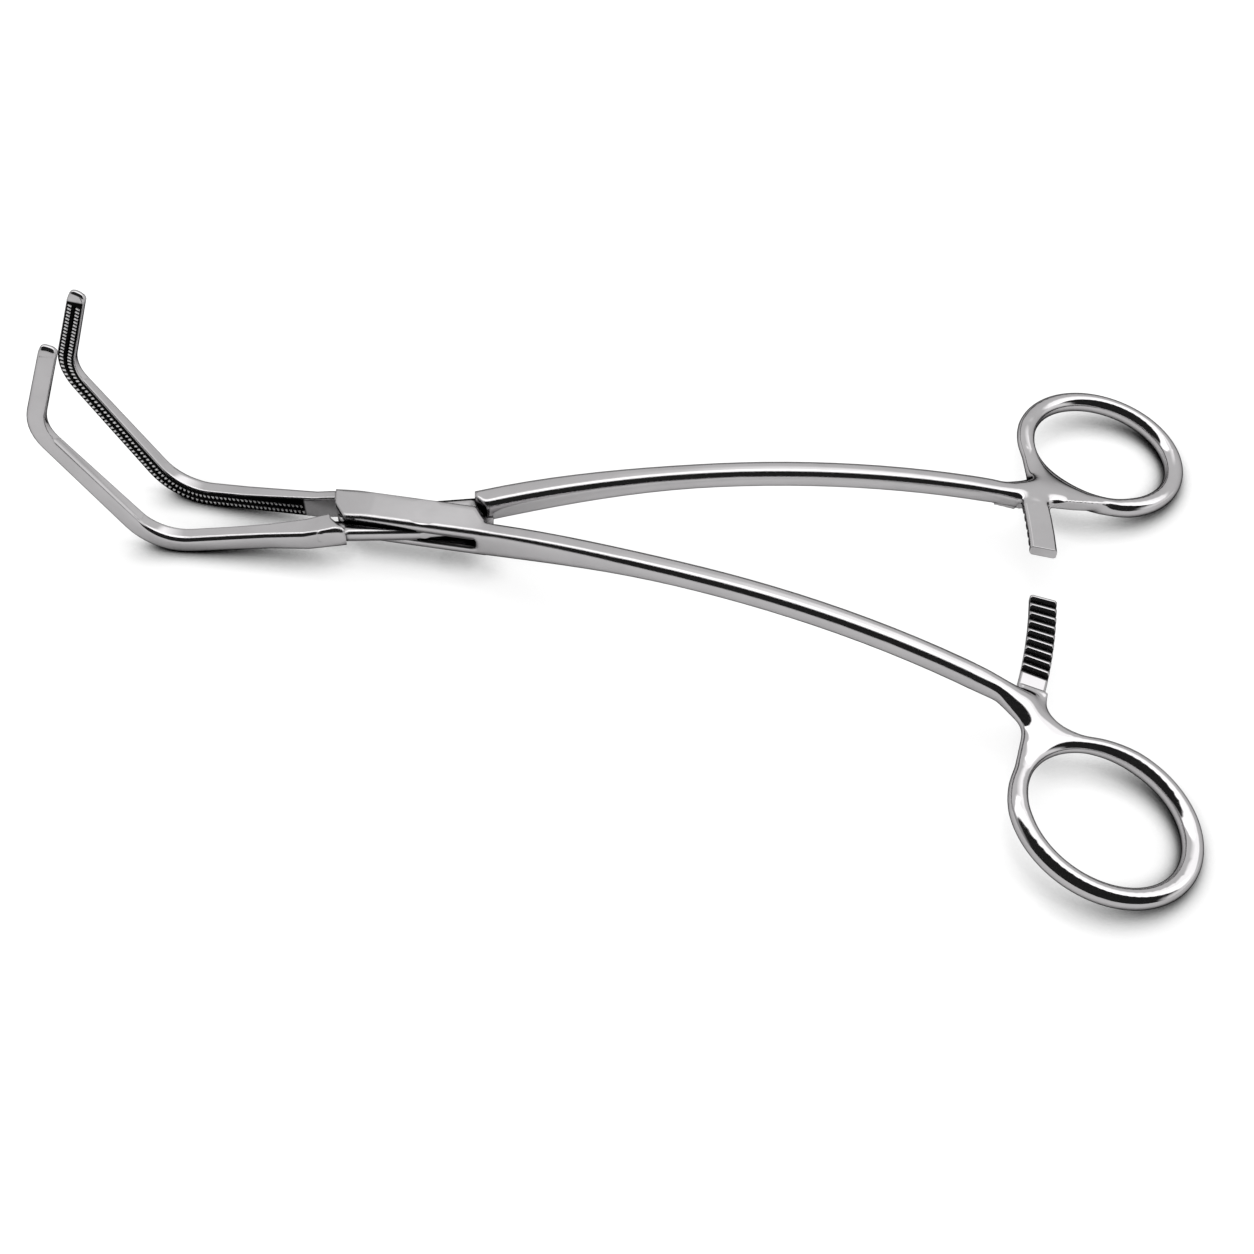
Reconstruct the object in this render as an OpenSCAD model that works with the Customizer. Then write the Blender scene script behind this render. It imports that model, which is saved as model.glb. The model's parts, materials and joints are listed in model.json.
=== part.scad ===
// Ring-handled tissue forceps with a box lock, cranked toothed jaws and a ratchet.
// The forceps lie on their two rings and on the heels of their jaws. +Z is up,
// +X runs from the jaws to the rings, and the origin is under the middle of the part.

/* [Opening] */
// Angle of each half from the middle line, as the forceps lie
open_half = 5.9; // [1:0.1:10]

/* [Lock pin] */
// Radius of the pin's shank
pin_r = 1.7; // [1.2:0.05:2]
// Radius of the pin's ground heads
head_r = 2.4; // [2.2:0.05:2.7]
// Depth of each head
head_h = 0.8; // [0.5:0.1:1.1]
// Radial running gap between the pin and the tongue
pin_gap = 0.05; // [0.02:0.01:0.09]

/* [Box lock] */
// Turn of the box from its own half's middle line
box_turn = 5; // [0:0.5:6]
// Width of the box
box_w = 7.8; // [7:0.1:10]
// Height of the box
box_h = 7; // [6:0.1:7.6]
// Height of the middle of the box above the table
box_z = 9.2; // [8.4:0.1:10.4]
// Distance from the pin to the front shoulder, along the middle line
front_x = 19.2; // [17:0.1:21]
// Distance from the pin to the back shoulder, along the middle line
back_x = 12.9; // [12.6:0.1:15]
// Length that each shoulder is cut back at the side of the box
shoulder_cut = 2.95; // [2:0.05:4]
// Gap between the shoulders of the two halves, closed
shoulder_gap = 0.3; // [0.2:0.05:0.8]
// Distance from the pin to each end wall of the slot
slot_x = 11.5; // [10.5:0.1:12.5]
// Height of the tongue
tongue_h = 2.4; // [1.8:0.1:3]
// Gap on every side of the tongue
lock_gap = 0.12; // [0.06:0.01:0.25]
// Radius of the long edges of the box
box_edge = 0.8; // [0.4:0.1:1.2]
// Slope of the top of the box towards the jaws
box_fall = 7; // [4:0.5:9]

/* [Jaws] */
// Height of a jaw's side at the heel
jaw_h = 4.2; // [3.4:0.1:4.8]
// Height of a jaw's side at the tip
tip_h = 3.5; // [2.6:0.1:3.8]
// Thickness of a jaw at the heel
jaw_t = 3.5; // [2.8:0.1:3.7]
// Thickness of a jaw at the tip
tip_t = 1.7; // [1.4:0.1:2.2]
// Distance from the pin to the lowest point of the heel
heel_x = 51.5; // [46:0.5:56]
// Slope of the jaw between the lock and the heel
jaw_dip = 8.5; // [7:0.5:10]
// Slope of the jaw beyond the heel
rise = 59.5; // [50:0.5:65]
// Turn of the tip from the rise
tip_turn = 51; // [40:1:60]
// Bend radius at the heel
heel_r = 11.5; // [9:0.5:14]
// Bend radius at the tip's crank
crank_r = 10; // [7:0.5:12]
// Straight length between the heel and the crank
rise_len = 25; // [20:0.5:30]
// Straight length of the tip
tip_len = 17; // [13:0.5:22]
// Gap between the closed jaw faces
jaw_gap = 0.35; // [0.3:0.05:0.6]

/* [Jaw teeth] */
// Pitch of the jaw teeth
tooth_pitch = 1; // [0.8:0.05:1.4]
// Height of the jaw teeth
tooth_h = 0.3; // [0.2:0.02:0.34]
// Width of one row of teeth
row_w = 0.75; // [0.5:0.05:0.8]

/* [Shanks] */
// Width of a shank in the middle
shank_w = 4.4; // [3.8:0.1:5]
// Height of a shank in the middle
shank_h = 4.3; // [3.4:0.1:4.6]
// Height above the lock of the point that a shank heads for as it leaves the lock
shank_rise = 12.4; // [10:0.1:14]
// Slope at which a shank meets its ring
shank_fall = 0.33; // [0.2:0.01:0.4]

/* [Finger rings] */
// Distance from the pin to the middle of a ring
ring_x = 145; // [140:0.5:150]
// Distance from the middle line to the middle of a ring, closed
ring_y = 34; // [31:0.5:38]
// Half length of a ring at the middle of its bar
ring_a = 17.4; // [16:0.1:19]
// Half width of a ring at the middle of its bar
ring_b = 16; // [14:0.1:18]
// Turn of a ring's long axis in its own plane
ring_turn = -18; // [-25:1:25]
// Thickness of the ring's bar
ring_t = 4.1; // [3.6:0.1:4.8]
// Tilt of the rings from the table
ring_tilt = 11; // [8:0.5:13]

/* [Ratchet] */
// Distance from the middle of a ring back to the middle line of its arm
arm_back = 17; // [15:0.2:19]
// Width of an arm
arm_w = 5.6; // [5:0.1:6.4]
// Thickness of an arm
arm_t = 2.4; // [2:0.1:3]
// Reach of the lower arm past the middle line, closed
lower_past = 13.2; // [9:0.1:14]
// Reach of the upper arm past the middle line, closed
upper_past = 2; // [1:0.5:4]
// Pitch of the ratchet teeth
ratchet_pitch = 2.3; // [1.8:0.1:2.6]
// Height of the ratchet teeth
ratchet_h = 1.1; // [0.6:0.1:1.2]
// Number of ratchet teeth on the lower arm
lower_teeth = 9; // [5:1:10]
// Number of ratchet teeth on the upper arm
upper_teeth = 5; // [3:1:6]
// Gap between the two rows of ratchet teeth
ratchet_gap = 0.15; // [0.1:0.05:0.3]

/* [Hidden] */
steel = [0.78, 0.78, 0.79];
box_bottom = box_z - box_h / 2;
slot_h = tongue_h + 2 * lock_gap;
ring_z = ring_t / 2 + ring_a * sin(ring_tilt);
arm_r = ring_x - arm_back;
arm_slope = tan(ring_tilt);
eps = 0.01;

// Points and sweeps
function arc_points(c, r, a0, a1, n) =
    [for (i = [0:n]) let (a = a0 + (a1 - a0) * i / n) [c[0] + r * cos(a), c[1] + r * sin(a)]];
function bezier(p, t) =
    pow(1 - t, 3) * p[0] + 3 * pow(1 - t, 2) * t * p[1] + 3 * (1 - t) * t * t * p[2] + pow(t, 3) * p[3];
function unit(v) = v / norm(v);
function mix(a, b, t) = a + (b - a) * max(0, min(1, t));
function smooth(t) = let (s = max(0, min(1, t))) s * s * (3 - 2 * s);

// Skin over rings of points that all have the same count
module skin(rings, closed = false) {
    n = len(rings[0]);
    m = len(rings);
    points = [for (r = rings) for (p = r) p];
    last = closed ? m - 1 : m - 2;
    sides = [
        for (i = [0:last], j = [0:n - 1])
            let (k = (j + 1) % n, next = (i + 1) % m,
                a = i * n + j, b = i * n + k, c = next * n + j, d = next * n + k)
                each [[a, c, b], [b, c, d]]
    ];
    ends = closed ? [] : [[for (j = [0:n - 1]) j], [for (j = [n - 1:-1:0]) (m - 1) * n + j]];
    polyhedron(points = points, faces = concat(sides, ends), convexity = 10);
}

// Section of a shank or ring: a flattened round of width w and height h
round_n = 16;
function flat_round(w, h, e = 0.8) =
    [
        for (i = [0:round_n - 1])
            let (a = 360 * (i + 0.5) / round_n, c = cos(a), s = sin(a))
                [w / 2 * sign(c) * pow(abs(c), e), h / 2 * sign(s) * pow(abs(s), e)]
    ];

// Jaw path in the XZ plane, as [x, z, heading]. It starts root_in behind the shoulder,
// and its root ends root_out in front of it
heel = [-heel_x, jaw_h / 2];
heel_c = heel + [0, heel_r];
rise_a = heel_c + heel_r * [-sin(rise), -cos(rise)];
rise_b = rise_a + rise_len * [-cos(rise), sin(rise)];
crank_c = rise_b + crank_r * [sin(rise), cos(rise)];
crank_end = rise + tip_turn;
crank_b = crank_c - crank_r * [sin(crank_end), cos(crank_end)];
tip_p = crank_b + tip_len * [-cos(crank_end), sin(crank_end)];
dip_a = heel_c + heel_r * [sin(jaw_dip), -cos(jaw_dip)];
root_in = 7.2;
root_out = 5.3;
root_x = -front_x + root_in;
knee_x = -front_x - root_out;
knee_z = dip_a[1] + (knee_x - dip_a[0]) * tan(jaw_dip);
root_dip = atan((box_z - knee_z) / (root_x - knee_x));
jaw_path = concat(
    [for (t = [0:0.25:1]) [mix(root_x, knee_x, t), mix(box_z, knee_z, pow(t, 1.3)), -root_dip]],
    [for (t = [0.34, 0.67]) [mix(knee_x, dip_a[0], t), mix(knee_z, dip_a[1], t), -jaw_dip]],
    [for (a = [-jaw_dip:(rise + jaw_dip) / 9:rise + eps])
        [heel_c[0] - heel_r * sin(a), heel_c[1] - heel_r * cos(a), a]],
    [for (t = [0.34, 0.67]) [mix(rise_a[0], rise_b[0], t), mix(rise_a[1], rise_b[1], t), rise]],
    [for (a = [rise:tip_turn / 7:crank_end + eps])
        [crank_c[0] - crank_r * sin(a), crank_c[1] - crank_r * cos(a), a]],
    [for (t = [0.5, 1]) [mix(crank_b[0], tip_p[0], t), mix(crank_b[1], tip_p[1], t), crank_end]]
);
function path_len(p, i) = i == 0
    ? 0
    : path_len(p, i - 1) + norm([p[i][0] - p[i - 1][0], p[i][1] - p[i - 1][1]]);
jaw_total = path_len(jaw_path, len(jaw_path) - 1);
root_len = path_len(jaw_path, 4);
heel_len = path_len(jaw_path, 10);

// Root of a jaw in the lock: [thickness, height, height above the path, length before it slims down]
box_jaw = [2.8, 5.8, 0.55, 9];
tongue_jaw = [5.6, 5.2, 1.2, 3.5];
function slim(s, root) = smooth((s - root[3]) / (heel_len * 0.55));
function jaw_side(s, root) = s < heel_len
    ? mix(root[1], jaw_h, slim(s, root))
    : mix(jaw_h, tip_h, (s - heel_len) / (jaw_total - heel_len));
function jaw_thick(s, root) = s < heel_len
    ? mix(root[0], jaw_t, slim(s, root))
    : mix(jaw_t, tip_t, (s - heel_len) / (jaw_total - heel_len));

// Ring of a jaw's skin: flat on the mating side and round on the outside
jaw_corner = 1;
face_corner = 0.25;
function jaw_section(t, h) =
    let (r = min(jaw_corner, t * 0.45, h * 0.4), f = face_corner)
    concat(
        [[f, h / 2]],
        [for (i = [0:3]) let (a = 90 - 30 * i) [t - r + r * cos(a), h / 2 - r + r * sin(a)]],
        [for (i = [0:3]) let (a = -30 * i) [t - r + r * cos(a), -h / 2 + r + r * sin(a)]],
        [[f, -h / 2], [0, -h / 2 + f], [0, h / 2 - f]]
    );
function jaw_ring(p, t, h) =
    [for (q = jaw_section(t, h)) [p[0] + q[1] * sin(p[2]), jaw_gap / 2 + q[0], p[1] + q[1] * cos(p[2])]];

// Whole bar of a jaw, with its rounded nose
nose_r = 1.2;
module jaw(root) {
    rings = [
        for (i = [0:len(jaw_path) - 1])
            let (s = path_len(jaw_path, i), lift = root[2] * (1 - slim(s, root)))
                jaw_ring(jaw_path[i] + [0, lift, 0], jaw_thick(s, root), jaw_side(s, root))
    ];
    d = [-cos(crank_end), sin(crank_end)];
    nose = [
        for (k = [1:4])
            let (a = 90 * k / 4.4, out = nose_r * sin(a), q = tip_p + out * d)
                jaw_ring(concat(q, crank_end), mix(0.7, 1, cos(a)) * tip_t, mix(0.45, 1, cos(a)) * tip_h)
    ];
    skin(concat(rings, nose));
}

// Place on the jaw path at a length s from its start
function jaw_at(s, i = 1) =
    i >= len(jaw_path) - 1 || path_len(jaw_path, i) >= s
    ? let (a = path_len(jaw_path, i - 1), b = path_len(jaw_path, i), t = (s - a) / (b - a))
        [mix(jaw_path[i - 1][0], jaw_path[i][0], t), mix(jaw_path[i - 1][1], jaw_path[i][1], t),
         mix(jaw_path[i - 1][2], jaw_path[i][2], t)]
    : jaw_at(s, i + 1);

// Row of fine teeth along a jaw's mating face, offset across it
teeth_start = root_len + 3;
teeth_end = jaw_total - 1.2;
row_out = 0.85;
row_root = 0.35;
row_low = 0.04;
module tooth_row(offset) {
    steps = floor((teeth_end - teeth_start) / tooth_pitch) * 2;
    rings = [
        for (k = [0:steps])
            let (p = jaw_at(teeth_start + k * tooth_pitch / 2), crest = k % 2 == 0 ? row_low : tooth_h,
                y0 = jaw_gap / 2 + row_root, y1 = jaw_gap / 2 - crest,
                a = offset - row_w / 2, b = offset + row_w / 2)
                [for (q = [[y0, b], [y0, a], [y1, a], [y1, b]])
                    [p[0] + q[1] * sin(p[2]), q[0], p[1] + q[1] * cos(p[2])]]
    ];
    skin(rings);
}

// Shank from the box to the ring's web, on the near side when closed.
// root is [distance from the middle line, height above the middle of the box, width, height]
shank_x = 12;
shank_lead = 8.1;
shank_end = 14.8;
shank_sink = [3.5, -1.6, -2.7];
shank_flat = 0.58;
root_flat = 0.42;
shank_b = [arm_r, -shank_end, ring_z + arm_back * arm_slope + 1.4];
shank_run = (shank_b[0] - shank_x) / 3;
shank_steps = 24;
box_shank = [1, 0, 4, 6.8];
tongue_shank = [4.2, 1.9, 5.4, 5.4];
module shank(root) {
    shank_a = [shank_x, -root[0], box_z + root[1]];
    shank_curve = [
        shank_a,
        [shank_x + shank_run, -shank_lead, box_z + shank_rise],
        shank_b + [-shank_run, 0.12 * shank_run, shank_fall * shank_run],
        shank_b
    ];
    rings = [
        for (i = [-1:shank_steps])
            let (t = i / shank_steps, p = bezier(shank_curve, t),
                d = unit(bezier(shank_curve, t + 0.005) - bezier(shank_curve, t - 0.005)),
                side = unit(cross([0, 0, 1], d)), up = cross(d, side),
                k = smooth(t / 0.4), w = mix(root[2], shank_w, k), h = mix(root[3], shank_h, k))
                [for (q = flat_round(w, h, mix(root_flat, shank_flat, k))) p + q[0] * side + q[1] * up]
    ];
    sunk = [
        for (q = flat_round(shank_w * 0.55, shank_h * 0.6))
            shank_b + shank_sink + [0, q[0], q[1]]
    ];
    skin(concat(rings, [sunk]));
}

// Finger ring, tilted about its own middle
module ring_frame() {
    translate([ring_x, -ring_y, ring_z]) rotate([0, ring_tilt, 0]) rotate([0, 0, ring_turn]) children();
}
ring_steps = 60;
module ring() {
    ring_frame() {
        rings = [
            for (i = [0:ring_steps - 1])
                let (a = -360 * i / ring_steps, p = [ring_a * cos(a), ring_b * sin(a), 0],
                    out = unit([ring_b * cos(a), ring_a * sin(a), 0]))
                    [for (q = flat_round(ring_t, ring_t, 0.95)) p + q[0] * out + q[1] * [0, 0, 1]]
        ];
        skin(rings, closed = true);
    }
}

// Ratchet arm on a circle about the pin. teeth is 1 for teeth on top and -1 for teeth underneath
arm_plane_z = shank_b[2] + 0.3;
arm_edge = 0.45;
tooth_steep = 0.33;
tooth_long = 0.82;
function arm_z(r) = arm_plane_z - arm_slope * (r - arm_r);
module arm_ring(r0, r1, z0, z1, e, from, to) {
    rotate([0, 0, from])
        rotate_extrude(angle = to - from, $fn = 360)
            polygon([
                [r0 + e, arm_z(r0 + e) + z1], [r0, arm_z(r0) + z1 - e], [r0, arm_z(r0) + z0 + e],
                [r0 + e, arm_z(r0 + e) + z0], [r1 - e, arm_z(r1 - e) + z0], [r1, arm_z(r1) + z0 + e],
                [r1, arm_z(r1) + z1 - e], [r1 - e, arm_z(r1 - e) + z1]
            ]);
}
module arm(teeth) {
    past = teeth > 0 ? lower_past : upper_past;
    count = teeth > 0 ? lower_teeth : upper_teeth;
    near = asin((-shank_b[1] + 1) / arm_r);
    far = asin(past / arm_r);
    low = teeth > 0 ? -ratchet_gap / 2 - arm_t : ratchet_gap / 2;
    face = teeth > 0 ? low + arm_t : low;
    step = ratchet_pitch / arm_r * 180 / PI;
    difference() {
        arm_ring(arm_r - arm_w / 2, arm_r + arm_w / 2, low, low + arm_t, arm_edge, -near, far);
        for (k = [0:count - 1])
            rotate([0, 0, far - (k + 0.2) * step])
                translate([arm_r, 0, arm_plane_z + face])
                    rotate([0, ring_tilt, 0])
                        rotate([90, 0, 90])
                            linear_extrude(height = arm_w * 1.5, center = true)
                                polygon([
                                    [0, teeth * ratchet_h / 2],
                                    [0, 0],
                                    [-ratchet_pitch * tooth_steep, -teeth * ratchet_h],
                                    [-ratchet_pitch * tooth_long, 0],
                                    [-ratchet_pitch * tooth_long, teeth * ratchet_h / 2]
                                ]);
    }
}

// Room for the tip of the lower arm under the other half, closed
module arm_relief() {
    side = arm_w / 2 + 0.5;
    reach = asin((lower_past + 0.8) / arm_r);
    arm_ring(arm_r - side, arm_r + side, -arm_t - 2, ratchet_gap / 2 - 0.02, eps, -reach, 0);
}

// Point on the middle of a ring's bar, seen in the ring's own plane from above
function ring_point(a, inside = 0) =
    let (x = (ring_a - inside) * cos(a), y = (ring_b - inside) * sin(a))
    [ring_x + x * cos(ring_turn) - y * sin(ring_turn), -ring_y + x * sin(ring_turn) + y * cos(ring_turn)];

// Web that joins the shank, the ring and the arm
web_t = 3.3;
web_fillet = 5;
web_crotch = 1.4;
module web_plan() {
    r0 = arm_r - arm_w / 2;
    r1 = arm_r + arm_w / 2;
    foot = shank_b[1] + 2.4;
    half = shank_w / 2;
    strip = 2 * shank_w;
    difference() {
        offset(r = -web_crotch, $fn = 24) offset(r = web_crotch, $fn = 24) union() {
            translate([arm_r, shank_b[1]]) rotate(-7)
                polygon([[-strip, 0.2], [0, half - 0.3], [0, 0.3 - half], [-strip, -0.2]]);
            translate([r0 - 0.4, shank_b[1]]) square([arm_w, 4.2]);
            polygon(concat(
                [[r0 + 2, shank_b[1]], [r0 + 2, -ring_y], [ring_x, -ring_y]],
                [ring_point(90)],
                arc_points([r1 + web_fillet - 0.3, foot + 0.8], web_fillet, 250, 180, 5)
            ));
        }
        polygon([for (a = [0:6:354]) ring_point(a, 0.4)]);
    }
}
module web() {
    translate([ring_x, 0, ring_z])
        rotate([0, ring_tilt, 0])
            translate([-ring_x, 0, -web_t / 2 + 0.2]) linear_extrude(height = web_t) web_plan();
}

// Thick foot of the upper arm, sloping down to the ring
module web_slope() {
    hull() {
        translate([arm_r, shank_b[1], arm_plane_z + ratchet_gap / 2 + arm_t - 0.02])
            rotate([0, ring_tilt, 0])
                translate([-arm_w / 2 + arm_edge, -1.5, -arm_t]) cube([arm_w - 2 * arm_edge, 4, arm_t]);
        for (a = [100, 132, 164])
            let (p = ring_point(a))
                translate([ring_x, 0, ring_z]) rotate([0, ring_tilt, 0])
                    translate([p[0] - ring_x, p[1], -1]) cylinder(r = 1, h = 1 + ring_t / 2 - 0.1, $fn = 16);
    }
}
module ring_hole() {
    translate([ring_x, 0, ring_z]) rotate([0, ring_tilt, 0]) translate([-ring_x, 0, -ring_t])
        linear_extrude(height = 3 * ring_t) polygon([for (a = [0:6:354]) ring_point(a, 0.6)]);
}

// Handle end of a half, on the near side
module handle(teeth, root) {
    shank(root);
    ring();
    web();
    arm(teeth);
}

// Places that put the middle of the part over the origin
function ring_out(a) =
    let (p = ring_point(a)) ring_x + (p[0] - ring_x) * cos(ring_tilt) + p[1] * tan(open_half);
ring_reach = (max([for (a = [-60:3:60]) ring_out(a)]) + ring_t / 2) * cos(open_half);
jaw_reach = max([
    for (i = [1:len(jaw_path) - 1])
        sin(jaw_path[i][2]) * jaw_side(path_len(jaw_path, i), box_jaw) / 2 - jaw_path[i][0]
]) * cos(open_half);
pin_x = (jaw_reach - ring_reach) / 2;

// Plan of the box, before the slot is cut
module box_plan() {
    w = box_w / 2;
    polygon([
        [-front_x - 1, w], [-front_x, 0], [-front_x + shoulder_cut, -w],
        [back_x + 0.6, -w], [back_x, 0], [back_x - shoulder_cut, w]
    ]);
}
module box_bar(length) {
    rotate([90, 0, 90])
        linear_extrude(height = length, center = true)
            round_rect(box_w, box_h, box_edge);
}
module round_rect(w, h, r) {
    square([w - 2 * r, h], center = true);
    square([w, h - 2 * r], center = true);
    for (x = [-1, 1], y = [-1, 1])
        translate([x * (w / 2 - r), y * (h / 2 - r)]) circle(r = r, $fn = 32);
}

// Slot that the tongue passes through, open at both sides
module slot() {
    rotate([0, 0, box_turn]) slot_flat();
}
module slot_flat() {
    w = box_w / 2 + 1;
    open_x = front_x + 4;
    translate([0, 0, box_z - slot_h / 2])
        linear_extrude(height = slot_h)
            polygon([
                [-slot_x, w], [-slot_x, 0.1], [-open_x, 0.1], [-open_x, -w],
                [slot_x, -w], [slot_x, -0.1], [open_x, -0.1], [open_x, w]
            ]);
}
module box() {
    rotate([0, 0, box_turn]) difference() {
        intersection() {
            translate([0, 0, box_z]) box_bar(3 * front_x);
            translate([0, 0, box_bottom - 1]) linear_extrude(height = box_h + 2) box_plan();
        }
        slot_flat();
        translate([-slot_x, 0, box_z + box_h / 2])
            rotate([0, -box_fall, 0]) translate([-box_h * 2, -box_w, 0]) cube([box_h * 2, box_w * 2, box_h]);
    }
}

// Female half: its jaw lies on the far side and its handle on the near side
module box_half_closed() {
    difference() {
        union() {
            box();
            difference() {
                jaw(box_jaw);
                slot();
            }
            tooth_row(row_out);
            tooth_row(-row_out);
            difference() {
                handle(1, box_shank);
                slot();
            }
        }
        translate([0, 0, box_bottom - 1]) cylinder(r = pin_r, h = box_h + 2, $fn = 48);
        for (z = [box_bottom - 1, box_z + box_h / 2 - head_h])
            translate([0, 0, z]) cylinder(r = head_r, h = head_h + 1, $fn = 48);
    }
}

// Tongue with its bore. Its back spreads out of the far side of the box to the shank's root
tongue_inset = 0.3;
tongue_spread = [1.5, 2.6];
module tongue() {
    w = box_w / 2 - tongue_inset;
    r = slot_x - lock_gap;
    front = front_x + 3;
    back = back_x + 1.2;
    difference() {
        translate([0, 0, box_z - tongue_h / 2])
            linear_extrude(height = tongue_h)
                rotate(box_turn) union() {
                    intersection() {
                        circle(r = r, $fn = 96);
                        square([2 * r, 2 * w], center = true);
                    }
                    translate([-front, -w]) square([front - 2, w - lock_gap]);
                    polygon([
                        [0, lock_gap], [-3, w], [1, w + tongue_spread[0]],
                        [back, w + tongue_spread[1]], [back, lock_gap]
                    ]);
                }
        translate([0, 0, box_bottom]) cylinder(r = pin_r + pin_gap, h = box_h, $fn = 48);
    }
}

// Full-height roots of the male half, beyond the shoulders
module root_cut() {
    w = box_w;
    k = shoulder_cut / (box_w / 2);
    g = shoulder_gap * sqrt(1 + k * k);
    translate([0, 0, box_bottom - 4])
        linear_extrude(height = box_h + 8)
            rotate(box_turn) polygon([
                [-front_x - 2 - g, w], [-front_x - g, 0], [-front_x - g + k * w, -w],
                [back_x + 2 + g, -w], [back_x + g, 0],
                [back_x + g - shoulder_cut, box_w / 2], [back_x + g - shoulder_cut, w]
            ]);
}
module tongue_half_closed() {
    tongue();
    difference() {
        union() {
            mirror([0, 1, 0]) jaw(tongue_jaw);
            mirror([0, 1, 0]) tooth_row(0);
            mirror([0, 1, 0]) handle(-1, tongue_shank);
            mirror([0, 1, 0]) difference() {
                web_slope();
                ring_hole();
            }
        }
        root_cut();
        mirror([0, 1, 0]) arm_relief();
    }
}

module box_half() {
    color(steel) translate([pin_x, 0, 0]) rotate([0, 0, -open_half]) box_half_closed();
}
module tongue_half() {
    color(steel) translate([pin_x, 0, 0]) rotate([0, 0, open_half]) tongue_half_closed();
}
module lock_pin() {
    color(steel)
        translate([pin_x, 0, 0]) {
            translate([0, 0, box_bottom]) cylinder(r = pin_r, h = box_h, $fn = 48);
            for (z = [box_bottom, box_z + box_h / 2 - head_h])
                translate([0, 0, z]) cylinder(r = head_r, h = head_h, $fn = 48);
        }
}

box_half();
tongue_half();
lock_pin();
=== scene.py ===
"""Dresses polished tissue forceps: two forged halves and their lock pin, on a white table in soft light."""
import json
import math

import bmesh
import bpy
from bpy.props import FloatProperty, FloatVectorProperty, PointerProperty
from mathutils import Matrix, Vector


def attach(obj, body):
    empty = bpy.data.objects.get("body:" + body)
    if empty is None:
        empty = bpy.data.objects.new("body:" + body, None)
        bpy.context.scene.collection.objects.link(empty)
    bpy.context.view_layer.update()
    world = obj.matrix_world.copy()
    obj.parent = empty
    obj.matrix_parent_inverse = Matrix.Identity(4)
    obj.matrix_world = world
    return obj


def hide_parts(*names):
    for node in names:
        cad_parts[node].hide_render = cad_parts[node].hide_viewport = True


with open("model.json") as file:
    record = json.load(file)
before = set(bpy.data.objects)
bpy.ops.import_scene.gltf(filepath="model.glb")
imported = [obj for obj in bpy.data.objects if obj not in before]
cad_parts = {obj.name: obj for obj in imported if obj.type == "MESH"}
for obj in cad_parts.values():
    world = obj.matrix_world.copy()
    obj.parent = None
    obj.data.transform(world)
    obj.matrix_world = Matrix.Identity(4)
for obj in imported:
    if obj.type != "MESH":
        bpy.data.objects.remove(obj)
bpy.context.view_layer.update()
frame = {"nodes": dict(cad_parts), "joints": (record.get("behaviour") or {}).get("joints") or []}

bl_info = {
    "name": "Tissue forceps",
    "version": (1, 0, 0),
    "blender": (4, 5, 0),
    "location": "View3D > Sidebar > Forceps",
    "description": "Builds a dressed pair of ring-handled forceps on a white table",
    "category": "Add Mesh",
}

PIN = Vector(frame["joints"][0]["pos_m"])
HALF_CLOSING = math.radians(frame["joints"][0]["range_deg"][0]) / 2
MM = 0.001

# Where the buffing changes along the forceps, in metres from the middle: the jaws end, the handles begin
JAWS_END = (-0.062, -0.058)
HANDLES_BEGIN = (0.07, 0.08)
# The pin's end is ground away with the steel around it, out to this distance from its axis
FLUSH = (3.4 * MM, 3.8 * MM)

# A half's own frame has its origin at the lock, its jaw towards -x and its handle at negative y, in mm.
# The teeth start this far along the jaw and end this high above the lock
TEETH_START = (27.0, 27.6)
TEETH_TOP = (43.3, 43.7)
# Middle of the web between shank, ring and ratchet arm
WEB = (130.0, -19.5)
# Where the blended skins meet the crisp solid: on the shank, at the arm's foot and under the nose
SHANK_CUT = 116.0
ARM_CUT = -10.4
NOSE_CUT = 52.9
# The arms of the closed forceps lie over each other, and this height parts them
BETWEEN_ARMS = 11.0
# Balls whose hulls carry the shank down into the web, and the web on into the ring: x, y, z and radius
RAMP = [(121.5, y, z, 1.0) for y in (-15.2, -14.3) for z in (11.1, 13.3)]
RAMP += [(137.0, -18.9, 7.0, 1.7), (132.5, -22.0, 7.9, 1.7), (130.2, -17.4, 8.6, 1.7)]
NECK = [(128.4, -28.6, 8.6, 2.0), (128.8, -20.5, 8.9, 1.8)]
NECK += [(128.6, -17.0, 9.9, 1.6), (133.1, -21.7, 7.7, 1.7)]
# Finger ring: centre, half length and half width of its middle line, half its thickness, and its two angles
RING_PLACE = Vector((145, -34, 5.37))
RING_LONG = 17.4
RING_SHORT = 16.0
RING_HALF_THICK = 2.08
RING_TURN = -18
RING_TILT = 11
RING_STEPS = 180
RING_CORNERS = 20
WEB_GRAIN = 0.28 * MM
NOSE_GRAIN = 0.12 * MM
WEB_ROUNDS = 150

# The camera, as found from the photograph: its place in mm from the lock, its right and its view
CAMERA_PLACE = Vector((76.986, -246.653, 286.848))
CAMERA_RIGHT = Vector((0.98787, 0.15455, 0.01484))
CAMERA_AHEAD = Vector((-0.08677, 0.62880, -0.77271))
LAMP_PLACE = (-0.15, 0.3, 0.9)


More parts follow.
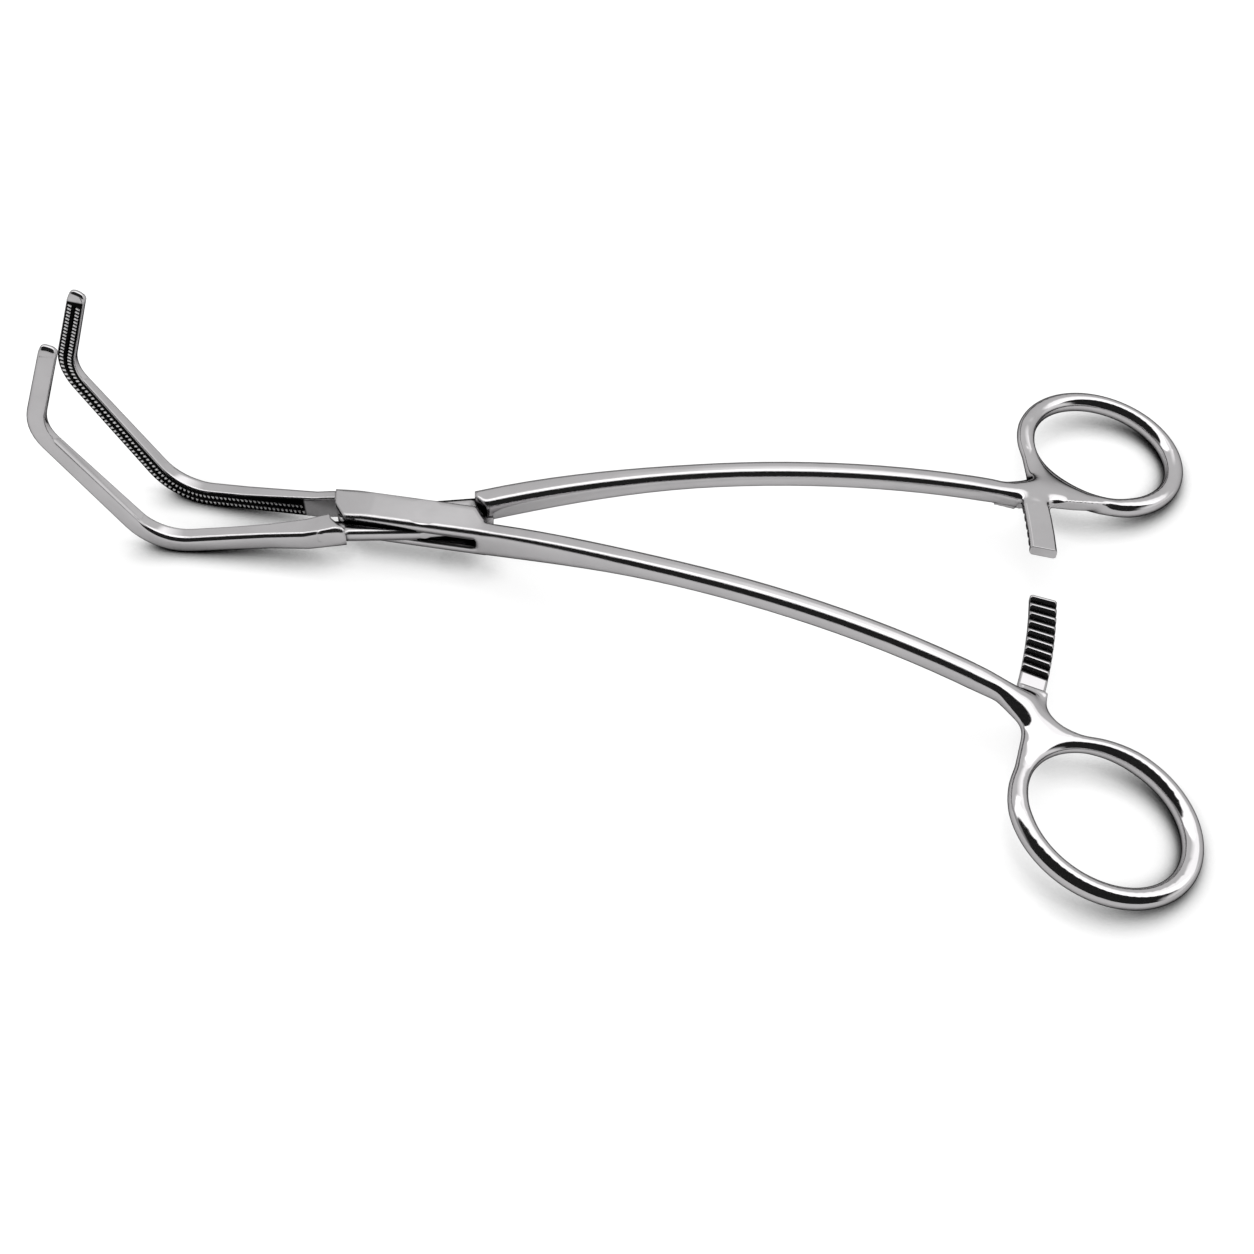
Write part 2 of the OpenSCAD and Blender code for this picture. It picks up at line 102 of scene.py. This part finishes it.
class SteelSettings(bpy.types.PropertyGroup):
    """Finish of the polished steel."""
    colour: FloatVectorProperty(
        name="Steel colour", description="Base colour of the polished steel", subtype="COLOR",
        size=3, min=0, max=1, default=(0.72, 0.705, 0.715))
    roughness: FloatProperty(
        name="Roughness", description="Roughness where the steel is buffed best", default=0.07, min=0, max=1)
    haze: FloatProperty(
        name="Buffing haze", description="Most that buffing marks add to the roughness",
        default=0.08, min=0, max=1)
    ripple: FloatProperty(
        name="Polishing ripple", description="Depth of the soft waves that hand polishing leaves",
        subtype="DISTANCE", default=0.02 * MM, min=0, max=0.001)
    sharp_angle: FloatProperty(
        name="Sharp edge", description="Edges that turn more than this stay crisp",
        subtype="ANGLE", default=math.radians(32), min=0, max=math.pi)
    rim: FloatProperty(
        name="Rim", description="How bright the steel stays where it is seen edge on",
        default=0.0, min=0, max=1)
    crease_shade_reach: FloatProperty(
        name="Crease reach", description="How far the dark of a crease or tooth gap reaches",
        subtype="DISTANCE", default=3 * MM, min=0, max=0.01)
    edge_round: FloatProperty(
        name="Edge rounding", description="Radius of the buffed edges",
        subtype="DISTANCE", default=0.8 * MM, min=0, max=0.002)


class StageSettings(bpy.types.PropertyGroup):
    """Table, light and camera."""
    table_size: FloatProperty(
        name="Table size", description="Side of the square table top",
        subtype="DISTANCE", default=6.0, min=1)
    lens: FloatProperty(
        name="Lens", description="Focal length on a 36 mm sensor, in mm", default=51.67, min=10)
    lamp_size: FloatProperty(
        name="Lamp size", description="Side of the overhead soft box",
        subtype="DISTANCE", default=0.9, min=0.1)
    lamp_power: FloatProperty(
        name="Lamp power", description="Power of the overhead soft box, in watts", default=5.0, min=0)


class Sock:
    """A shader socket that takes part in Python expressions."""

    def __init__(self, graph, socket):
        self.graph, self.socket = graph, socket

    def _math(self, operation, *values):
        return self.graph.node("ShaderNodeMath", {"operation": operation}, dict(enumerate(values)))

    def __add__(self, other):
        return self._math("ADD", self, other)

    def __radd__(self, other):
        return self._math("ADD", other, self)

    def __sub__(self, other):
        return self._math("SUBTRACT", self, other)

    def __rsub__(self, other):
        return self._math("SUBTRACT", other, self)

    def __mul__(self, other):
        return self._math("MULTIPLY", self, other)

    def __rmul__(self, other):
        return self._math("MULTIPLY", other, self)

    def clamp(self, low, high):
        return self.graph.node("ShaderNodeClamp", {}, {"Value": self, "Min": low, "Max": high})

    def step(self, low, high):
        """0 below low, 1 above high, smooth between."""
        return self.graph.node("ShaderNodeMapRange", {"interpolation_type": "SMOOTHSTEP"},
                               {"Value": self, "From Min": low, "From Max": high})


class Graph:
    """A node tree that is written as expressions."""

    def __init__(self, tree):
        self.tree = tree
        tree.nodes.clear()

    def node(self, kind, settings=None, inputs=None, output=0):
        made = self.tree.nodes.new(kind)
        for name, value in (settings or {}).items():
            setattr(made, name, value)
        for name, value in (inputs or {}).items():
            if isinstance(value, Sock):
                self.tree.links.new(value.socket, made.inputs[name])
            else:
                made.inputs[name].default_value = value
        return Sock(self, made.outputs[output]) if len(made.outputs) else None

    def mix(self, factor, a, b):
        made = self.tree.nodes.new("ShaderNodeMix")
        made.data_type = "RGBA"
        for index, value in ((0, factor), (6, a), (7, b)):
            if isinstance(value, Sock):
                self.tree.links.new(value.socket, made.inputs[index])
            else:
                made.inputs[index].default_value = value
        return Sock(self, made.outputs[2])


def new_material(name):
    material = bpy.data.materials.new(name)
    material.use_nodes = True
    return material, Graph(material.node_tree)


def grey(value):
    return (value, value, value, 1.0)


def polished_steel(name, side=0):
    """Buffed stainless steel with soft waves and faint haze, painted shade darkening its creases and, on a
    jaw, painted shade and highlights along the teeth.

    side is 1 on the box half, -1 on the tongue half and 0 on the pin.
    """
    steel = bpy.context.scene.forceps_steel
    material, g = new_material(name)
    where = g.node("ShaderNodeTexCoord", output=3)
    cloud = g.node("ShaderNodeTexNoise", {}, {
        "Vector": where, "Scale": 90.0, "Detail": 3.0, "Roughness": 0.6})
    grit = g.node("ShaderNodeTexNoise", {}, {"Vector": where, "Scale": 2600.0, "Detail": 2.0})
    drawn = g.node("ShaderNodeMapping", {}, {"Vector": where, "Scale": (140.0, 1800.0, 1800.0)})
    hair = g.node("ShaderNodeTexNoise", {}, {"Vector": drawn, "Scale": 1.0, "Detail": 2.0})
    haze = cloud.step(0.42, 0.72)
    rough = haze * steel.haze * 0.6 + hair.step(0.45, 0.75) * steel.haze * 0.4 + steel.roughness
    light = tuple(steel.colour) + (1.0,)
    dark = tuple(c * 0.93 for c in steel.colour) + (1.0,)
    colour = g.mix(cloud.step(0.35, 0.7), light, dark)
    # Painted shade: ambient occlusion turns the colour near black in creases, slots and tooth gaps, and where
    # the steel comes close to the table
    crease = g.node("ShaderNodeAmbientOcclusion", {"samples": 8}, {"Distance": steel.crease_shade_reach}, output=1)
    colour = g.mix(crease.step(0.35, 0.85), grey(0.005), colour)
    # On a jaw, painted shade in the tooth valleys and painted highlights on the tooth crests
    if side:
        colour = tooth_shade_and_glints(g, where, side, colour)
    wave = g.node("ShaderNodeTexNoise", {}, {"Vector": where, "Scale": 160.0, "Detail": 1.0})
    place = g.node("ShaderNodeSeparateXYZ", {}, {"Vector": where}).socket.node.outputs
    along = Sock(g, place["X"])
    rounding = 1 + along.step(*JAWS_END) * 1.3 - along.step(*HANDLES_BEGIN) * 1.9
    level = g.node("ShaderNodeVectorMath", {"operation": "MULTIPLY"}, {0: where, 1: (1, 1, 0)})
    axis = (PIN.x, PIN.y, 0)
    from_pin = g.node("ShaderNodeVectorMath", {"operation": "DISTANCE"}, {0: level, 1: axis}, output=1)
    radius = rounding * from_pin.step(*FLUSH) * steel.edge_round
    edges = g.node("ShaderNodeBevel", {"samples": 24}, {"Radius": radius})
    soft = g.node("ShaderNodeBump", {}, {
        "Height": wave, "Strength": 1.0, "Distance": steel.ripple, "Normal": edges})
    fine = g.node("ShaderNodeBump", {}, {
        "Height": grit, "Strength": 0.06, "Distance": 0.02 * MM, "Normal": soft})
    shader = g.node("ShaderNodeBsdfPrincipled", {}, {
        "Base Color": colour, "Metallic": 1.0, "Roughness": rough, "Specular Tint": grey(steel.rim),
        "Normal": fine})
    g.node("ShaderNodeOutputMaterial", {}, {"Surface": shader})
    return material


def tooth_shade_and_glints(g, where, side, colour):
    """Painted shade in the valleys and painted highlights on the crests of the toothed stretch of a jaw's
    mating face.
    """
    closed = -side * HALF_CLOSING
    moved = g.node("ShaderNodeVectorMath", {"operation": "SUBTRACT"}, {0: where, 1: tuple(PIN)})
    turned = g.node("ShaderNodeMapping", {}, {"Vector": moved, "Rotation": (0, 0, closed)})
    axes = g.node("ShaderNodeSeparateXYZ", {}, {"Vector": turned}).socket.node.outputs
    depth = Sock(g, axes["Y"]) * (side / MM)
    along = Sock(g, axes["X"]) * (-1 / MM)
    height = Sock(g, axes["Z"]) * (1 / MM)
    face = (1 - depth.step(0.2, 0.26)) * along.step(*TEETH_START) * (1 - height.step(*TEETH_TOP))
    # Painted shade: near black in the valleys between the teeth
    colour = g.mix(face * depth.step(-0.03, 0.05), colour, grey(0.01))
    # Painted highlight: near white on the tooth crests
    return g.mix(face * (1 - depth.step(-0.1, -0.02)), colour, grey(0.95))


def spot(side, x, y, z=0.0):
    """Place in a half's own frame, in mm from the lock, with its handle at negative y."""
    turn = Matrix.Rotation(side * HALF_CLOSING, 3, "Z")
    return Vector((PIN.x, PIN.y, 0)) + turn @ Vector((x, side * y, z)) * MM


def keep_beyond(bm, side, x=None, y=None, z=None, flip=False):
    """Cut the solid at x, y or z of the half's own frame, keep what lies beyond, or short of it with flip."""
    wanted = [value is not None for value in (x, y, z)]
    place = [value or 0 for value in (x, y, z)]
    ahead = spot(side, *(a + b for a, b in zip(place, wanted))) - spot(side, *place)
    cut = bmesh.ops.bisect_plane(
        bm, geom=bm.verts[:] + bm.edges[:] + bm.faces[:], dist=0.0001 * MM, plane_co=spot(side, *place),
        plane_no=ahead.normalized(), clear_inner=not flip, clear_outer=flip)
    rim = [e for e in cut["geom_cut"] if isinstance(e, bmesh.types.BMEdge) and e.is_boundary]
    bmesh.ops.holes_fill(bm, edges=rim)


def remeshed(bm, size):
    """The same solid, or solids run together, as one even skin."""
    mesh = bpy.data.meshes.new("skin")
    bm.to_mesh(mesh)
    bm.free()
    holder = bpy.data.objects.new("skin", mesh)
    bpy.context.scene.collection.objects.link(holder)
    modifier = holder.modifiers.new("Skin", "REMESH")
    modifier.mode = "VOXEL"
    modifier.voxel_size = size
    even = bpy.data.meshes.new_from_object(holder.evaluated_get(bpy.context.evaluated_depsgraph_get()))
    made = bmesh.new()
    made.from_mesh(even)
    bpy.data.objects.remove(holder)
    bpy.data.meshes.remove(mesh)
    bpy.data.meshes.remove(even)
    return made


def soften(bm, verts):
    """One round of smoothing."""
    bmesh.ops.smooth_vert(bm, verts=verts, factor=0.5, use_axis_x=True, use_axis_y=True, use_axis_z=True)


def knob_hull(side, knobs):
    """Convex lump around balls."""
    bm = bmesh.new()
    for x, y, z, radius in knobs:
        bmesh.ops.create_icosphere(
            bm, subdivisions=2, radius=radius * MM, matrix=Matrix.Translation(spot(side, x, y, z)))
    hull = bmesh.ops.convex_hull(bm, input=bm.verts)
    inner = [v for v in hull["geom_interior"] if isinstance(v, bmesh.types.BMVert)]
    bmesh.ops.delete(bm, geom=inner, context="VERTS")
    return bm


def fine_ring(side):
    """The finger ring as one smooth tube that just covers the facets of the solid."""
    bm = bmesh.new()
    half_step = Matrix.Rotation(math.pi / RING_CORNERS, 4, "Z")
    bmesh.ops.create_circle(bm, segments=RING_CORNERS, radius=1, matrix=half_step)
    for v in bm.verts:
        across, up = (math.copysign(abs(c) ** 0.95, c) * RING_HALF_THICK for c in v.co.xy)
        v.co = (RING_LONG + across, 0, up)
    bmesh.ops.spin(bm, geom=bm.verts[:] + bm.edges[:], cent=(0, 0, 0), axis=(0, 0, 1), dvec=(0, 0, 0),
                   angle=math.tau, steps=RING_STEPS, use_merge=True, use_duplicate=False)
    turn = Matrix.Rotation(math.radians(RING_TURN), 3, "Z")
    tilt = Matrix.Rotation(math.radians(RING_TILT), 3, "Y")
    for v in bm.verts:
        around = v.co.xy.normalized()
        across = v.co.xy.length - RING_LONG
        outward = Vector((RING_SHORT * around.x, RING_LONG * around.y, 0)).normalized()
        middle = Vector((RING_LONG * around.x, RING_SHORT * around.y, v.co.z))
        v.co = spot(side, *(RING_PLACE + tilt @ turn @ (middle + outward * across)))
    bmesh.ops.recalc_face_normals(bm, faces=bm.faces)
    return bm


def blended_web(solid, side):
    """Shank end, web and ring of a half, run into each other as a forging's are."""
    bm = solid.copy()
    keep_beyond(bm, side, x=SHANK_CUT - 2)
    keep_beyond(bm, side, y=ARM_CUT + 2, flip=True)
    for lump in (knob_hull(side, RAMP), knob_hull(side, NECK), fine_ring(side)):
        join(bm, lump)
    skin = remeshed(bm, WEB_GRAIN)
    middle = spot(side, *WEB)
    start = spot(side, SHANK_CUT, 0)
    foot = spot(side, 0, ARM_CUT)
    along = spot(side, 1, 0) - spot(side, 0, 0)
    inward = spot(side, 0, -1) - spot(side, 0, 0)

    def rounds_at(v):
        """How often a vertex is smoothed: most in the middle of the web, never at the cuts."""
        reach = (v.co.xy - middle.xy).length / MM
        past_start = (v.co - start).dot(along) / MM ** 2
        past_foot = (v.co - foot).dot(inward) / MM ** 2
        most = 8 + min(max(20 - reach, 0), 10) * 14
        if side < 0 and v.co.z < BETWEEN_ARMS * MM:
            past_foot -= 4  # the other arm's tip comes in under this one when the jaws close
        return min(most, max(past_start, 0) ** 2 * 1.5, max(past_foot, 0) ** 2 * 20)

    plan = [(v, rounds_at(v)) for v in skin.verts]
    for i in range(WEB_ROUNDS):
        soften(skin, [v for v, rounds in plan if rounds > i])
    keep_beyond(skin, side, x=SHANK_CUT)
    keep_beyond(skin, side, y=ARM_CUT, flip=True)
    return skin


def blended_nose(solid, side):
    """The blunt end of a jaw, rounded off."""
    bm = solid.copy()
    keep_beyond(bm, side, z=NOSE_CUT - 0.6)
    skin = remeshed(bm, NOSE_GRAIN)
    for above, rounds in ((0.2, 20), (0.6, 40), (0.9, 50)):
        near = [v for v in skin.verts if v.co.z > (NOSE_CUT + above) * MM]
        for _ in range(rounds):
            soften(skin, near)
    keep_beyond(skin, side, z=NOSE_CUT)
    return skin


def join(bm, other):
    """Add the other solid to bm."""
    mesh = bpy.data.meshes.new("part")
    other.to_mesh(mesh)
    other.free()
    bm.from_mesh(mesh)
    bpy.data.meshes.remove(mesh)


def forging_from(node_name, name, material, body, side=0):
    """The node's own solid, shaded smooth, with a half's web and nose blended, riding where the node is."""
    steel = bpy.context.scene.forceps_steel
    source = frame["nodes"][node_name]
    bm = bmesh.new()
    bm.from_mesh(source.data)
    bmesh.ops.remove_doubles(bm, verts=bm.verts, dist=0.002 * MM)
    bmesh.ops.dissolve_degenerate(bm, edges=bm.edges, dist=0.002 * MM)
    bmesh.ops.dissolve_limit(bm, angle_limit=math.radians(0.4), verts=bm.verts, edges=bm.edges)
    if side:
        web = blended_web(bm, side)
        nose = blended_nose(bm, side)
        arm = bm.copy()
        keep_beyond(arm, side, x=SHANK_CUT)
        keep_beyond(arm, side, y=ARM_CUT)
        keep_beyond(bm, side, x=SHANK_CUT, flip=True)
        keep_beyond(bm, side, z=NOSE_CUT, flip=True)
        join(bm, nose)
        join(bm, arm)
        join(bm, web)
    for face in bm.faces:
        face.smooth = True
    for edge in bm.edges:
        edge.smooth = not (edge.is_manifold and edge.calc_face_angle(0.0) > steel.sharp_angle)
    mesh = bpy.data.meshes.new(name)
    bm.to_mesh(mesh)
    bm.free()
    mesh.materials.append(material)
    piece = bpy.data.objects.new(name, mesh)
    bpy.context.scene.collection.objects.link(piece)
    even = piece.modifiers.new("Even shading", "WEIGHTED_NORMAL")
    even.keep_sharp = True
    even.weight = 60
    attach(piece, body)
    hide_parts(node_name)
    return piece


class FORCEPS_OT_box_half(bpy.types.Operator):
    """Add the forged half with the box, the far jaw and the toothed ratchet arm"""
    bl_idname = "forceps.box_half"
    bl_label = "Box half"

    def execute(self, context):
        steel = polished_steel("box_half_steel", 1)
        forging_from("box_half", "box_half_forging", steel, "box_side", 1)
        return {"FINISHED"}


class FORCEPS_OT_tongue_half(bpy.types.Operator):
    """Add the forged half with the tongue, the near jaw and the upper ratchet arm"""
    bl_idname = "forceps.tongue_half"
    bl_label = "Tongue half"

    def execute(self, context):
        steel = polished_steel("tongue_half_steel", -1)
        forging_from("tongue_half", "tongue_half_forging", steel, "tongue_side", -1)
        return {"FINISHED"}


class FORCEPS_OT_lock_pin(bpy.types.Operator):
    """Add the lock pin, pressed in the box and ground flush"""
    bl_idname = "forceps.lock_pin"
    bl_label = "Lock pin"

    def execute(self, context):
        forging_from("lock_pin", "lock_pin_rivet", polished_steel("pin_steel"), "box_side")
        return {"FINISHED"}


def studio_world():
    """White to the camera. Metal sees a soft box overhead, a pale wall beyond it and a dark room this side.

    angle is how far a reflection has turned up from the far horizon, over the top and on, in degrees.
    """
    world = bpy.data.worlds.new("studio")
    bpy.context.scene.world = world
    world.use_nodes = True
    g = Graph(world.node_tree)
    path = g.node("ShaderNodeLightPath")
    glossy = Sock(g, path.socket.node.outputs["Is Glossy Ray"])
    camera = Sock(g, path.socket.node.outputs["Is Camera Ray"])
    ray = g.node("ShaderNodeTexCoord", output=0)
    axes = g.node("ShaderNodeSeparateXYZ", {}, {"Vector": ray}).socket.node.outputs
    right = Sock(g, axes["X"])
    over = g.node("ShaderNodeMath", {"operation": "ARCTAN2"}, {0: Sock(g, axes["Z"]), 1: Sock(g, axes["Y"])})
    angle = over * (180 / math.pi)
    plain = 0.62
    low = (1 - angle.step(4, 14)) * (1 - right.step(0.4, 0.6))
    side = right * 1.1 + 0.36
    wall = (1 - low) * plain + side.clamp(0.0, 0.7) * angle.step(40, 48)
    top = angle.step(56, 60)
    room = (wall * (1 - top) + top * 1.6) * (1 - angle.step(80, 86)) + 0.015
    across = g.node("ShaderNodeMath", {"operation": "ABSOLUTE"}, {0: right})
    ends = across.step(0.86, 0.97)
    room = room * (1 - ends) + ends * (right * 0.25 + 0.6)
    metal = glossy * room + (1 - glossy) * plain
    level = camera + (1 - camera) * metal
    back = g.node("ShaderNodeBackground", {}, {"Color": level, "Strength": 1.0})
    g.node("ShaderNodeOutputWorld", {}, {"Surface": back})


def table_material():
    """White table top that fades to the white background and keeps the shadow, with a painted contact shadow
    darkening it close to the forceps.
    """
    material, g = new_material("table_white")
    path = g.node("ShaderNodeLightPath")
    camera = Sock(g, path.socket.node.outputs["Is Camera Ray"])
    glossy = Sock(g, path.socket.node.outputs["Is Glossy Ray"])
    # Painted contact shadow: ambient occlusion darkens the table's colour and glow close to the forceps
    near = g.node("ShaderNodeAmbientOcclusion", {"samples": 8}, {"Distance": 0.0075}, output=1)
    contact_shadow = near.step(0.35, 0.94)
    # Reflection rays see the table darker, a painted shade in the steel's reflections of it
    white = 0.8 - glossy * 0.15 - camera * 0.45
    diffuse = g.node("ShaderNodeBsdfDiffuse", {}, {"Color": white * contact_shadow})
    glow = g.node("ShaderNodeEmission", {}, {"Color": grey(1.0), "Strength": camera * contact_shadow * 0.75})
    both = g.node("ShaderNodeAddShader", {}, {0: diffuse, 1: glow})
    g.node("ShaderNodeOutputMaterial", {}, {"Surface": both})
    return material


class FORCEPS_OT_stage(bpy.types.Operator):
    """Add the table, the overhead soft box, the world and the camera"""
    bl_idname = "forceps.stage"
    bl_label = "Stage"

    def execute(self, context):
        stage = context.scene.forceps_stage
        context.scene.view_settings.view_transform = "Standard"
        studio_world()

        bm = bmesh.new()
        bmesh.ops.create_grid(bm, x_segments=1, y_segments=1, size=stage.table_size / 2)
        mesh = bpy.data.meshes.new("table")
        bm.to_mesh(mesh)
        bm.free()
        mesh.materials.append(table_material())
        table = bpy.data.objects.new("table", mesh)
        context.scene.collection.objects.link(table)

        lamp = bpy.data.lights.new("soft_box", "AREA")
        lamp.shape = "SQUARE"
        lamp.size = stage.lamp_size
        lamp.energy = stage.lamp_power
        box = bpy.data.objects.new("soft_box", lamp)
        box.location = LAMP_PLACE
        box.rotation_euler = (Vector((0, 0, 0)) - box.location).to_track_quat("-Z", "Y").to_euler()
        box.visible_glossy = False
        context.scene.collection.objects.link(box)

        data = bpy.data.cameras.new("camera")
        data.sensor_width = 36.0
        data.lens = stage.lens
        data.clip_start = 0.01
        camera = bpy.data.objects.new("camera", data)
        right = CAMERA_RIGHT.normalized()
        ahead = CAMERA_AHEAD.normalized()
        place = Vector((PIN.x, 0, 0)) + CAMERA_PLACE * MM
        turn = Matrix((right, right.cross(ahead), -ahead)).transposed().to_4x4()
        camera.matrix_world = Matrix.Translation(place) @ turn
        context.scene.collection.objects.link(camera)
        context.scene.camera = camera
        return {"FINISHED"}


class FORCEPS_PT_panel(bpy.types.Panel):
    """Lists the pieces of the forceps"""
    bl_idname = "FORCEPS_PT_panel"
    bl_label = "Forceps"
    bl_space_type = "VIEW_3D"
    bl_region_type = "UI"
    bl_category = "Forceps"

    def draw(self, context):
        for group in (context.scene.forceps_steel, context.scene.forceps_stage):
            for name in group.__annotations__:
                self.layout.prop(group, name)
        for operator in OPERATORS:
            self.layout.operator(operator.bl_idname)


OPERATORS = (FORCEPS_OT_stage, FORCEPS_OT_box_half, FORCEPS_OT_tongue_half, FORCEPS_OT_lock_pin)
CLASSES = (SteelSettings, StageSettings) + OPERATORS + (FORCEPS_PT_panel,)


def register():
    for cls in CLASSES:
        bpy.utils.register_class(cls)
    bpy.types.Scene.forceps_steel = PointerProperty(type=SteelSettings)
    bpy.types.Scene.forceps_stage = PointerProperty(type=StageSettings)


def unregister():
    del bpy.types.Scene.forceps_steel
    del bpy.types.Scene.forceps_stage
    for cls in reversed(CLASSES):
        bpy.utils.unregister_class(cls)


def main():
    register()
    bpy.ops.forceps.stage()
    bpy.ops.forceps.box_half()
    bpy.ops.forceps.tongue_half()
    bpy.ops.forceps.lock_pin()


if __name__ == "__main__":
    main()
